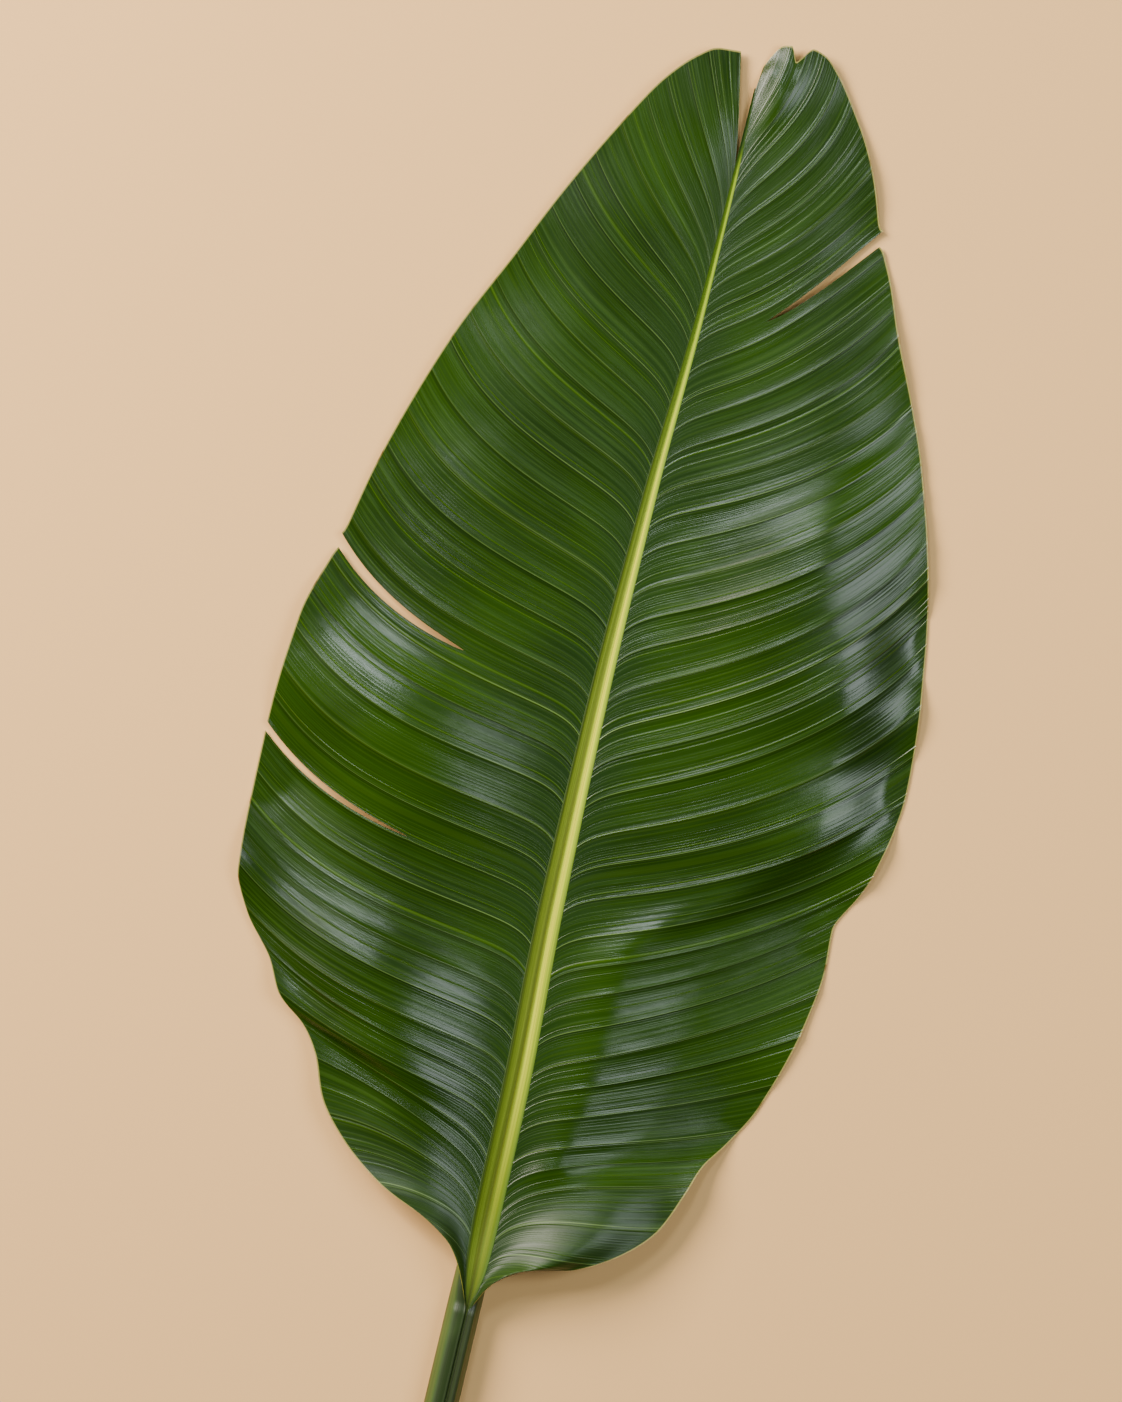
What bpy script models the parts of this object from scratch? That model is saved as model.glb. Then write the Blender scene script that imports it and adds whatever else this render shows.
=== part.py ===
"""Giant bird of paradise leaf, cut with its stalk and lying face up.

One grown piece: blade, midrib and stalk. +Y runs along the midrib to the tip,
+X is the blade's right half and +Z is up. Sizes are in millimetres here and
are turned into metres when the mesh is made.

Every lateral vein is a row of the mesh. A row is placed by its station, the
distance along the midrib from the blade's base at which the vein leaves it.
"""

import bpy
from math import atan2, cos, exp, hypot, pi, radians, sin

MM = 0.001

# Stalk and midrib
RIB_LENGTH = 648.0
STALK_ROWS = (-240.0, -238.5, -200.0, -150.0, -100.0, -50.0, -20.0, -7.0)
CUT_BEVEL = 0.92

# Past the split tip the rib runs on as a thin strip along the right lobe
STRIP_ROWS = (653.0, 658.0, 664.0, 671.0, 679.0, 686.0, 692.0)

# Pleats: one lateral vein on the crest of each
PLEATS = 38
PLEAT_VALLEY = 0.5
VEIN_CROWDING = 0.03
VEIN_WANDER = 1.5
HOOK = 6.0
HOOK_REACH = 7.0

# Blade
BLADE_THICKNESS = 1.0
STALK_STEP = 0.25
COLUMNS = 12
COLUMN_SPREAD = 1.2

# Where the crest of each half lies, left -1 and right 1: (station, share of the vein)
CREST_AT = {-1: ((0, 0.45), (170, 0.45), (260, 0.5), (692, 0.5)),
            1: ((0, 0.6), (45, 0.6), (75, 0.24), (190, 0.24), (235, 0.7), (300, 0.7), (380, 0.6), (692, 0.6))}

RIPPLE_LENGTH = 92.0

# Height of the wave along each margin: (station, height)
RIPPLE_HEIGHT = {-1: ((0, 0), (90, 2.4), (200, 1.5), (300, 1.2), (400, 0.6), (648, 0.3)),
                 1: ((0, 0), (90, 3), (330, 2.6), (450, 1.5), (692, 1))}

# How far out each half has sagged to its margin's height: (station, share of the vein)
SAG_END = {-1: ((0, 1), (692, 1)), 1: ((0, 0.9), (60, 0.58), (190, 0.56), (235, 0.85), (270, 1), (692, 1))}

# Midrib, by station: (station, value)
RIB_ACROSS = ((-240, -1), (0, -0.5), (60, -1.6), (120, -2.2), (230, -6), (345, -7),
              (460, -5), (570, -0.5), (648, 0.5), (692, 0.3))
KEEL_OFFSET = ((-240, -1.9), (0, -1.9), (60, -0.4), (120, 0))
KEEL_BOTTOM = ((-240, 0), (500, 0), (640, 1), (692, 1))
RIB_DEPTH = ((-240, 17), (0, 16.5), (60, 14), (170, 11.5), (290, 9), (400, 7), (515, 5),
             (605, 3.6), (648, 3), (692, 2.2))
KEEL_HALF = ((-240, 9.6), (0, 9.4), (60, 8.6), (170, 7), (290, 5.6), (400, 4.4), (515, 3),
             (605, 1.6), (648, 1.3), (692, 0.4))
CHANNEL_HALF = ((-240, 0.7), (0, 0.8), (12, 3.8), (25, 6), (40, 7), (60, 7.5), (96, 7.6),
                (197, 7.2), (300, 6), (401, 4.8), (494, 3.4), (605, 1.8), (648, 1.4), (692, 0.3))
CHANNEL_DEPTH = ((-240, 0.5), (0, 0.6), (25, 3), (60, 5), (170, 5), (290, 4.2), (400, 3.2),
                 (515, 2), (605, 1.4), (648, 1), (692, 0.4))
PLEAT_HEIGHT = ((0, 0), (60, 0.3), (150, 0.45), (400, 0.35), (480, 0.2), (600, 0.14), (692, 0.08))

# Blade margins: (station, along, across), where that station's vein ends
LEFT_MARGIN = ((0, 4, 2.2), (12, 22, 10), (20, 34, 18), (28, 46, 36), (40, 56, 60),
               (50, 74, 86), (60, 96, 105), (72, 118, 114), (84, 132, 124), (100, 146, 141),
               (112, 164, 151), (130, 186, 169), (148, 208, 179), (190, 248, 181.5),
               (230, 291, 182), (290, 352, 178), (330, 396, 166), (372, 443, 156),
               (445, 522, 131), (497, 574, 107.5), (540, 613, 90), (580, 661, 65),
               (605, 687, 49), (628, 703, 34), (640, 709, 24), (648, 710, 12))
RIGHT_MARGIN = ((0, 4, 2.2), (10, 18, 10), (18, 30, 28), (24, 36, 52), (40, 65, 91),
                (50, 87, 101), (65, 106, 108), (80, 122, 119), (93, 144, 131), (124, 198, 146),
                (141, 226, 149.5), (166, 250, 148.5), (179, 271, 158.5), (190, 283, 163), (228, 331, 171),
                (287, 413, 163), (345, 470, 150), (380, 493, 143), (411, 518, 134.5),
                (447, 543, 124), (482, 578, 108), (512, 604, 98), (540, 627, 87), (571, 656, 76.5),
                (585, 674, 68), (600, 690, 58), (622, 711, 42), (634, 718, 34), (643, 720, 27),
                (651, 713, 21), (655, 711, 19), (660, 719, 15), (670, 718, 10),
                (682, 712, 5.5), (692, 705, 2))

# How far a vein turns from its chord, in degrees: (station, at the rib, at the margin)
LEFT_TURN = ((0, 0, 0), (50, -14, -18), (90, -4, 4), (130, 5, 18), (230, 7, 24), (330, 8, 25),
             (450, 6, 22), (570, 3, 12), (648, 0, 0))
RIGHT_TURN = ((0, 0, 0), (50, -18, 0), (90, 0, 5), (125, 7, 8), (327, 14, 22), (475, 14, 20),
              (540, 20, 8), (571, 17, 12), (610, 14, 26), (640, 10, 22), (692, 0, 0))

# Height of each half: (station, top of the margin above the ground, rise of the crest)
LEFT_HEIGHT = ((0, 17.5, 0), (30, 24, 2), (50, 15, 4), (72, 10, 6), (86, 7, 8), (101, 9, 11),
               (114, 7, 12), (135, 7, 13), (150, 7, 13), (172, 3, 10), (195, 1, 6.5), (215, 1, 6),
               (240, 4, 8), (275, 10, 10.5), (290, 10, 10), (331, 3, 5), (350, 4, 4), (400, 5, 3),
               (515, 5, 1.5), (560, 6, 1), (600, 7, 0.5), (625, 7, 1), (648, 4.5, 2))
RIGHT_HEIGHT = ((0, 17.5, 0), (25, 23, 6), (50, 12, 6), (64, 7, 6), (79, 4, 6), (93, 2.5, 6),
                (124, 1.5, 6), (143, 2, 6), (169, 2, 6), (195, 2, 7), (240, 2, 10), (253, 1, 10),
                (300, 3, 12), (378, 5, 13), (410, 5, 10), (450, 4, 4), (500, 4, 1.5), (551, 3, 1),
                (600, 5, 0.5), (636, 6, 0.5), (654, 7, 2), (670, 5, 2), (692, 2.5, 0))

# Tears: (side, station, gap at the margin, lift of the upper flap, column where it ends)
TEARS = ((-1, 227, 5.0, 2.0, 6), (-1, 331, 8.0, 1.5, 6), (1, 540, 9.0, 1.0, 5))
TEAR_SHAPE = 0.6

LEFT = -1
RIGHT = 1
MARGIN = {LEFT: LEFT_MARGIN, RIGHT: RIGHT_MARGIN}
TURN = {LEFT: LEFT_TURN, RIGHT: RIGHT_TURN}
HEIGHT = {LEFT: LEFT_HEIGHT, RIGHT: RIGHT_HEIGHT}


def slope_at(keys, i, c):
    """Slope of a smooth curve through the keys, flat where the keys turn back."""
    if i == 0 or i == len(keys) - 1:
        j = max(i, 1)
        return (keys[j][c] - keys[j - 1][c]) / (keys[j][0] - keys[j - 1][0])
    before = (keys[i][c] - keys[i - 1][c]) / (keys[i][0] - keys[i - 1][0])
    after = (keys[i + 1][c] - keys[i][c]) / (keys[i + 1][0] - keys[i][0])
    if before * after <= 0:
        return 0.0
    return 2 * before * after / (before + after)


def smooth(keys, s, c=1):
    """Value c of the keys at station s, by a curve that never overshoots them."""
    if s <= keys[0][0]:
        return keys[0][c]
    if s >= keys[-1][0]:
        return keys[-1][c]
    i = next(n for n in range(len(keys) - 1) if s < keys[n + 1][0])
    span = keys[i + 1][0] - keys[i][0]
    t = (s - keys[i][0]) / span
    m0 = slope_at(keys, i, c) * span
    m1 = slope_at(keys, i + 1, c) * span
    a = 2 * t**3 - 3 * t**2 + 1
    b = t**3 - 2 * t**2 + t
    d = t**3 - t**2
    return a * keys[i][c] + b * m0 + (1 - a) * keys[i + 1][c] + d * m1


def station_of(pleat):
    """Rib station of a pleat number: a little crowded at both ends and never quite even."""
    t = pleat / PLEATS
    wander = VEIN_WANDER * (sin(1.9 * pleat) + 0.5 * sin(4.3 * pleat)) * min(1.0, 4 * t * (1 - t))
    return RIB_LENGTH * (t - VEIN_CROWDING * sin(2 * pi * t)) + wander


def pleat_rows():
    """(station, -1 in a valley or +1 on a crest) of every row of the blade."""
    rows = []
    for pleat in range(PLEATS):
        rows.append((station_of(pleat), 1.0))
        rows.append((station_of(pleat + PLEAT_VALLEY), -1.0))
    rows.append((RIB_LENGTH, 0.0))
    for tear in TEARS:
        rows = with_tear_row(rows, tear[1])
    return rows + [(s, 0.0) for s in STRIP_ROWS]


def with_tear_row(rows, station):
    """Moves the nearest row to a tear's station, or adds one where none is near."""
    nearest = min(range(len(rows)), key=lambda i: abs(rows[i][0] - station))
    if abs(rows[nearest][0] - station) < 3:
        rows[nearest] = (station, rows[nearest][1])
        return rows
    i = next(n for n in range(len(rows)) if rows[n][0] > station)
    (s0, p0), (s1, p1) = rows[i - 1], rows[i]
    pleat = p0 + (p1 - p0) * (station - s0) / (s1 - s0)
    return rows[:i] + [(station, pleat)] + rows[i:]


def vein_point(side, s, u):
    """Place (across, along) of the part u of the way along the vein of station s."""
    x0 = smooth(RIB_ACROSS, s) + side * smooth(CHANNEL_HALF, s)
    x3 = side * smooth(MARGIN[side], s, 2)
    y3 = smooth(MARGIN[side], s, 1)
    hook = min(HOOK, 0.1 * hypot(x3 - x0, y3 - s))
    y0 = s + hook
    out = side * (x3 - x0)
    chord = atan2(y3 - y0, out)
    start = chord - radians(smooth(TURN[side], s, 1))
    end = chord + radians(smooth(TURN[side], s, 2))
    handle = 0.36 * hypot(out, y3 - y0)
    x1 = x0 + side * handle * cos(start)
    y1 = y0 + handle * sin(start)
    x2 = x3 - side * handle * cos(end)
    y2 = y3 - handle * sin(end)
    v = 1 - u
    x = v**3 * x0 + 3 * v * v * u * x1 + 3 * v * u * u * x2 + u**3 * x3
    y = v**3 * y0 + 3 * v * v * u * y1 + 3 * v * u * u * y2 + u**3 * y3
    reach = u * hypot(x3 - x0, y3 - y0)
    return x, y - hook * exp(-reach / HOOK_REACH) * (1 - u)


def blade_height(side, s, u, along, pleat):
    """Height of the blade's upper face; pleat runs from -1, valley, to +1, crest."""
    rim = smooth(KEEL_BOTTOM, s) + smooth(RIB_DEPTH, s)
    margin = smooth(HEIGHT[side], s, 1)
    crest = smooth(HEIGHT[side], s, 2)
    top = smooth(CREST_AT[side], s)
    hump = sin(pi / 2 * u / top) ** 2 if u < top else cos(pi / 2 * (u - top) / (1 - top)) ** 2
    fallen = min(1, u / smooth(SAG_END[side], s))
    sag = fallen * fallen * (3 - 2 * fallen)
    turn = 2 * pi * along / RIPPLE_LENGTH
    wave = sin(turn + side) + 0.5 * sin(1.3 * turn)
    ripple = smooth(RIPPLE_HEIGHT[side], s) * u**3 * wave
    fold = smooth(PLEAT_HEIGHT, s) * min(1.0, u / 0.3) * (1 - 0.35 * u)
    z = rim + crest * hump + (margin - rim) * sag + ripple + fold * pleat
    return max(z, BLADE_THICKNESS)


def blade_point(side, s, u, pleat, tear, flap):
    """Upper-face point, moved off the tear's line on the flap above or below it."""
    x, y = vein_point(side, s, u)
    z = blade_height(side, s, u, y, pleat)
    if tear is None:
        return x, y, z
    apex = column_u(tear[4])
    opened = max(0.0, (u - apex) / (1 - apex))
    y += flap * 0.5 * tear[2] * opened ** TEAR_SHAPE
    if flap > 0:
        z += tear[3] * opened * opened
    return x, y, z


def column_u(column):
    return (column / COLUMNS) ** COLUMN_SPREAD


def stem_section(s):
    """Upper and lower halves of the rib's or stalk's section, left to right and back."""
    centre = smooth(RIB_ACROSS, s)
    offset = smooth(KEEL_OFFSET, s)
    bottom = smooth(KEEL_BOTTOM, s)
    depth = smooth(RIB_DEPTH, s)
    rim = bottom + depth
    keel = smooth(KEEL_HALF, s)
    channel = smooth(CHANNEL_HALF, s)
    groove = smooth(CHANNEL_DEPTH, s)
    wall = min(BLADE_THICKNESS, 0.4 * depth) if s > 0 else STALK_STEP
    upper = [(-channel, rim), (-0.6 * channel, rim - 0.55 * groove), (-0.22 * channel, rim - 0.93 * groove),
             (0, rim - groove),
             (0.22 * channel, rim - 0.93 * groove), (0.6 * channel, rim - 0.55 * groove), (channel, rim)]
    lower = []
    for side in (RIGHT, LEFT):
        edge = side * channel
        shoulder = 0.3 * edge + 0.7 * (offset + side * keel)
        half = [(edge, rim - wall), (shoulder, rim - wall - 0.14 * depth),
                (offset + side * keel, bottom + 0.5 * depth),
                (offset + side * 0.8 * keel, bottom + 0.16 * depth), (offset + side * 0.4 * keel, bottom)]
        lower += half if side == RIGHT else half[::-1]
    if s == STALK_ROWS[0]:
        upper = [bevelled(x, z, offset, bottom + depth / 2) for x, z in upper]
        lower = [bevelled(x, z, offset, bottom + depth / 2) for x, z in lower]
    return [(centre + x, s, z) for x, z in upper], [(centre + x, s, z) for x, z in lower]


def bevelled(x, z, middle_x, middle_z):
    """A point of the cut end's rim, drawn in towards the stalk's middle."""
    return middle_x + (x - middle_x) * CUT_BEVEL, middle_z + (z - middle_z) * CUT_BEVEL


class Skin:
    """Points and triangles of the leaf's closed surface."""

    def __init__(self):
        self.points = []
        self.faces = []

    def add(self, point):
        self.points.append(point)
        return len(self.points) - 1

    def quad(self, a, b, c, d):
        self.faces.append((a, b, c))
        self.faces.append((a, c, d))

    def strip(self, first, second):
        """Quads between two rows of equal length."""
        for i in range(len(first) - 1):
            self.quad(first[i], first[i + 1], second[i + 1], second[i])


def fin_row(skin, side, s, pleat, rim_top, rim_bottom, tear):
    """One row of a blade half: (top, bottom) for the strip below it and for the one above."""
    flaps = []
    for flap in (-1, 1):
        top = [rim_top]
        bottom = [rim_bottom]
        for column in range(1, COLUMNS + 1):
            if flap == 1 and (tear is None or column <= tear[4]):
                top.append(flaps[0][0][column])
                bottom.append(flaps[0][1][column])
                continue
            x, y, z = blade_point(side, s, column_u(column), pleat, tear, flap)
            top.append(skin.add((x, y, z)))
            bottom.append(skin.add((x, y, z - BLADE_THICKNESS)))
        flaps.append((top, bottom))
    return flaps


def tear_at(side, station):
    """The tear of this half at this station, or None."""
    return next((tear for tear in TEARS if tear[0] == side and tear[1] == station), None)


def build_skin():
    skin = Skin()
    blade = pleat_rows()
    stations = [(s, None) for s in STALK_ROWS] + blade
    upper = []
    lower = []
    for s, pleat in stations:
        top, bottom = stem_section(s)
        upper.append([skin.add(p) for p in top])
        lower.append([skin.add(p) for p in bottom])

    for i in range(len(stations) - 1):
        s = stations[i][0]
        skin.strip(upper[i], upper[i + 1])
        skin.strip(lower[i], lower[i + 1])
        if s < 0:
            skin.quad(upper[i][-1], lower[i][0], lower[i + 1][0], upper[i + 1][-1])
        if s < 0 or s >= RIB_LENGTH:
            skin.quad(lower[i][-1], upper[i][0], upper[i + 1][0], lower[i + 1][-1])

    fins = {LEFT: [], RIGHT: []}
    for row, (s, pleat) in enumerate(blade, start=len(STALK_ROWS)):
        for side, top, bottom in ((LEFT, upper[row][0], lower[row][-1]),
                                  (RIGHT, upper[row][-1], lower[row][0])):
            if side == RIGHT or s <= RIB_LENGTH:
                tear = tear_at(side, s)
                fins[side].append((fin_row(skin, side, s, pleat, top, bottom, tear), tear))

    for side in (LEFT, RIGHT):
        rows = fins[side]
        for index in range(len(rows) - 1):
            (top_a, bottom_a), (top_b, bottom_b) = rows[index][0][1], rows[index + 1][0][0]
            skin.strip(top_a, top_b)
            skin.strip(bottom_b[::-1], bottom_a[::-1])
            skin.quad(top_a[-1], bottom_a[-1], bottom_b[-1], top_b[-1])
        for (below, above), tear in rows:
            if tear:
                for top, bottom in (below, above):
                    skin.strip(top[tear[4]:], bottom[tear[4]:])
        first = rows[0][0][0]
        last = rows[-1][0][1]
        skin.strip(first[0], first[1])
        skin.strip(last[0], last[1])

    close_end(skin, upper[0], lower[0])
    close_end(skin, upper[-1], lower[-1])
    return skin


def close_end(skin, upper, lower):
    """Flat end of the rib or of the cut stalk, fanned from its middle."""
    ring = upper + lower
    corners = [skin.points[i] for i in ring]
    middle = skin.add(tuple(sum(p[axis] for p in corners) / len(corners) for axis in range(3)))
    for i in range(len(ring)):
        skin.faces.append((middle, ring[i], ring[(i + 1) % len(ring)]))


def clear_scene():
    for obj in list(bpy.data.objects):
        bpy.data.objects.remove(obj, do_unlink=True)


def leaf_material():
    material = bpy.data.materials.new("fresh_leaf_green")
    material.use_nodes = True
    shader = material.node_tree.nodes["Principled BSDF"]
    shader.inputs["Base Color"].default_value = (0.034, 0.105, 0.008, 1.0)
    shader.inputs["Roughness"].default_value = 0.42
    shader.inputs["Metallic"].default_value = 0.0
    material.diffuse_color = (0.034, 0.105, 0.008, 1.0)
    return material


def make_leaf():
    """The mesh, moved so that the middle of its underside's box is at the origin."""
    skin = build_skin()
    low = [min(p[axis] for p in skin.points) for axis in range(3)]
    high = [max(p[axis] for p in skin.points) for axis in range(3)]
    shift = ((low[0] + high[0]) / 2, (low[1] + high[1]) / 2, low[2])
    points = [tuple((p[axis] - shift[axis]) * MM for axis in range(3)) for p in skin.points]

    mesh = bpy.data.meshes.new("leaf")
    mesh.from_pydata(points, [], skin.faces)
    mesh.materials.append(leaf_material())
    leaf = bpy.data.objects.new("leaf", mesh)
    bpy.context.scene.collection.objects.link(leaf)
    bpy.context.view_layer.objects.active = leaf
    leaf.select_set(True)
    bpy.ops.object.mode_set(mode="EDIT")
    bpy.ops.mesh.select_all(action="SELECT")
    bpy.ops.mesh.normals_make_consistent(inside=False)
    bpy.ops.object.mode_set(mode="OBJECT")
    return leaf


clear_scene()
make_leaf()
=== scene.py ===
"""Giant bird of paradise leaf, lying face up: detailed blade, midrib and stalk on a pale floor.

The leaf's own axes: +Y along the midrib to the tip, +X to the blade's right half and +Z up, in mm.
A station is the distance along the midrib from the blade's base at which a lateral vein leaves it.
"""
from math import cos, pi, radians, sin

import bmesh
import bpy
import numpy as np
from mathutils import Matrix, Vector


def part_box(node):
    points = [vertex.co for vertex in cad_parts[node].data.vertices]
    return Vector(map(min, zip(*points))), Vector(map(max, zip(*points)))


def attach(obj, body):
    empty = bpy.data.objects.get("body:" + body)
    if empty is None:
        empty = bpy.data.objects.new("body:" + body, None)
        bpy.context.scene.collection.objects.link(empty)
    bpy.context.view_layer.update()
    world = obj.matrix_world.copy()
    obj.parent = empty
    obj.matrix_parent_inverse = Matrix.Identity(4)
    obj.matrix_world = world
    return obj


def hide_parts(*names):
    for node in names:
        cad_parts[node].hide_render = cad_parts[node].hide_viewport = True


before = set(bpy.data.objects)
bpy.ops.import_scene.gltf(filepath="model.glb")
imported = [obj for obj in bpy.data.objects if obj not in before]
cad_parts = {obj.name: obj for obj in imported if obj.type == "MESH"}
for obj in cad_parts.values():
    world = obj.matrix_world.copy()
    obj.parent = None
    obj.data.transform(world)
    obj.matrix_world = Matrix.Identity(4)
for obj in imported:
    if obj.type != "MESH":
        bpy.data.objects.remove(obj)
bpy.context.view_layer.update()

MM = 0.001
LEFT = -1
RIGHT = 1

# Driving dimensions in mm

STALK_LENGTH = 240.0
RIB_LENGTH = 648.0
STRIP_END = 692.0
PLEATS = 38
PLEAT_VALLEY = 0.5
PLEAT_SHARPNESS = 2.6
VEIN_CROWDING = 0.03
VEIN_WANDER = 1.5

# Each vein leaves the rib in a small hook, and its curve's handles take this share of its length
HOOK = 6.0
HOOK_SHARE = 0.1
HOOK_REACH = 7.0
HANDLE_SHARE = 0.36

BLADE_THICKNESS = 1.0

# Where each half's crest lies: (station, share of the vein)
CREST_AT = {LEFT: ((0, 0.45), (170, 0.45), (260, 0.5), (692, 0.5)),
            RIGHT: ((0, 0.6), (45, 0.6), (75, 0.24), (190, 0.24), (235, 0.7), (300, 0.7), (380, 0.6),
                    (692, 0.6))}

RIPPLE_LENGTH = 92.0
RIPPLE_OVERTONE = 1.3

# Height of the wave along each margin: (station, height)
RIPPLE_HEIGHT = {LEFT: ((0, 0), (90, 2.4), (200, 1.5), (300, 1.2), (400, 0.6), (648, 0.3)),
                 RIGHT: ((0, 0), (90, 3), (330, 2.6), (450, 1.5), (692, 1))}

# How far out each half has sagged to its margin's height: (station, share of the vein)
SAG_END = {LEFT: ((0, 1), (692, 1)),
           RIGHT: ((0, 0.9), (60, 0.58), (190, 0.56), (235, 0.85), (270, 1), (692, 1))}

# Midrib, by station along it: (station, value)
RIB_ACROSS = ((-240, -1), (0, -0.5), (60, -1.6), (120, -2.2), (230, -6), (345, -7),
              (460, -5), (570, -0.5), (648, 0.5), (692, 0.3))
KEEL_OFFSET = ((-240, -1.9), (0, -1.9), (60, -0.4), (120, 0))
KEEL_BOTTOM = ((-240, 0), (500, 0), (640, 1), (692, 1))
RIB_DEPTH = ((-240, 17), (0, 16.5), (60, 14), (170, 11.5), (290, 9), (400, 7), (515, 5),
             (605, 3.6), (648, 3), (692, 2.2))
KEEL_HALF = ((-240, 9.6), (0, 9.4), (60, 8.6), (170, 7), (290, 5.6), (400, 4.4), (515, 3),
             (605, 1.6), (648, 1.3), (692, 0.4))
CHANNEL_HALF = ((-240, 0.7), (0, 0.8), (12, 3.8), (25, 6), (40, 7), (60, 7.5), (96, 7.6),
                (197, 7.2), (300, 6), (401, 4.8), (494, 3.4), (605, 1.8), (648, 1.4), (692, 0.3))
CHANNEL_DEPTH = ((-240, 0.5), (0, 0.6), (25, 3), (60, 5), (170, 5), (290, 4.2), (400, 3.2),
                 (515, 2), (605, 1.4), (648, 1), (692, 0.4))

# Height of the pleats: full from this share of the vein on, lower by a share at the margin, never alike
PLEATS_FULL_AT = 0.3
PLEATS_FADE = 0.35
PLEATS_VARY = 0.4
PLEAT_HEIGHT = ((0, 0), (60, 0.3), (150, 0.45), (400, 0.35), (480, 0.2), (600, 0.14), (692, 0.08))

# Blade margins: (station, along, across), where that station's vein ends
LEFT_MARGIN = ((0, 4, 2.2), (12, 22, 10), (20, 34, 18), (28, 46, 36), (40, 56, 60),
               (50, 74, 86), (60, 96, 105), (72, 118, 114), (84, 132, 124), (100, 146, 141),
               (112, 164, 151), (130, 186, 169), (148, 208, 179), (190, 248, 181.5),
               (230, 291, 182), (290, 352, 178), (330, 396, 166), (372, 443, 156),
               (445, 522, 131), (497, 574, 107.5), (540, 613, 90), (580, 661, 65),
               (605, 687, 49), (628, 703, 34), (640, 709, 24), (648, 710, 12))
RIGHT_MARGIN = ((0, 4, 2.2), (10, 18, 10), (18, 30, 28), (24, 36, 52), (40, 65, 91),
                (50, 87, 101), (65, 106, 108), (80, 122, 119), (93, 144, 131), (124, 198, 146),
                (141, 226, 149.5), (166, 250, 148.5), (179, 271, 158.5), (190, 283, 163),
                (228, 331, 171), (287, 413, 163), (345, 470, 150), (380, 493, 143),
                (411, 518, 134.5), (447, 543, 124), (482, 578, 108), (512, 604, 98),
                (540, 627, 87), (571, 656, 76.5), (585, 674, 68), (600, 690, 58),
                (622, 711, 42), (634, 718, 34), (643, 720, 27), (651, 713, 21), (655, 711, 19),
                (660, 719, 15), (670, 718, 10), (682, 712, 5.5), (692, 705, 2))

# How far a vein turns from its chord, in degrees: (station, at the rib, at the margin)
LEFT_TURN = ((0, 0, 0), (50, -14, -18), (90, -4, 4), (130, 5, 18), (230, 7, 24), (330, 8, 25),
             (450, 6, 22), (570, 3, 12), (648, 0, 0))
RIGHT_TURN = ((0, 0, 0), (50, -18, 0), (90, 0, 5), (125, 7, 8), (327, 14, 22), (475, 14, 20),
              (540, 20, 8), (571, 17, 12), (610, 14, 26), (640, 10, 22), (692, 0, 0))

# Height of each half: (station, top of the margin above the ground, rise of the crest)
LEFT_HEIGHT = ((0, 17.5, 0), (30, 24, 2), (50, 15, 4), (72, 10, 6), (86, 7, 8), (101, 9, 11),
               (114, 7, 12), (135, 7, 13), (150, 7, 13), (172, 3, 10), (195, 1, 6.5), (215, 1, 6),
               (240, 4, 8), (275, 10, 10.5), (290, 10, 10), (331, 3, 5), (350, 4, 4), (400, 5, 3),
               (515, 5, 1.5), (560, 6, 1), (600, 7, 0.5), (625, 7, 1), (648, 4.5, 2))
RIGHT_HEIGHT = ((0, 17.5, 0), (25, 23, 6), (50, 12, 6), (64, 7, 6), (79, 4, 6), (93, 2.5, 6),
                (124, 1.5, 6), (143, 2, 6), (169, 2, 6), (195, 2, 7), (240, 2, 10), (253, 1, 10),
                (300, 3, 12), (378, 5, 13), (410, 5, 10), (450, 4, 4), (500, 4, 1.5), (551, 3, 1),
                (600, 5, 0.5), (636, 6, 0.5), (654, 7, 2), (670, 5, 2), (692, 2.5, 0))

MARGIN = {LEFT: LEFT_MARGIN, RIGHT: RIGHT_MARGIN}
TURN = {LEFT: LEFT_TURN, RIGHT: RIGHT_TURN}
HEIGHT = {LEFT: LEFT_HEIGHT, RIGHT: RIGHT_HEIGHT}
BLADE_END = {LEFT: RIB_LENGTH, RIGHT: STRIP_END}

# Tears: (side, station, gap at the margin, lift of the upper flap, where it ends along the vein)
TEARS = ((LEFT, 227, 5.0, 2.0, 0.435), (LEFT, 331, 8.0, 1.5, 0.435), (RIGHT, 540, 9.0, 1.0, 0.35))
TEAR_SHAPE = 0.6
TEAR_SPREAD = 11.0

# Rows this close to a tear give way to its own row
TEAR_CLEARANCE = 0.4

# Fineness of the detailed mesh

ROWS_PER_PLEAT = 14
STRIP_STEP = 1.5
COLUMNS = 64
COLUMN_SPREAD = 1.15
RIB_STEP = 2.5
EDGE_THICKNESS = 0.65
STALK_STEP = 0.25


def smooth(keys, s, c=1):
    """Value c of the keys at stations s, by a curve that never overshoots them."""
    table = np.array(keys, dtype=float)
    x = table[:, 0]
    y = table[:, c]
    secant = np.diff(y) / np.diff(x)
    slope = np.zeros(len(x))
    slope[0] = secant[0]
    slope[-1] = secant[-1]
    for i in range(1, len(x) - 1):
        if secant[i - 1] * secant[i] > 0:
            slope[i] = 2 * secant[i - 1] * secant[i] / (secant[i - 1] + secant[i])
    s = np.clip(np.asarray(s, dtype=float), x[0], x[-1])
    i = np.clip(np.searchsorted(x, s, side="right") - 1, 0, len(x) - 2)
    span = x[i + 1] - x[i]
    t = (s - x[i]) / span
    a = 2 * t**3 - 3 * t**2 + 1
    b = t**3 - 2 * t**2 + t
    d = t**3 - t**2
    return a * y[i] + b * slope[i] * span + (1 - a) * y[i + 1] + d * slope[i + 1] * span


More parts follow.
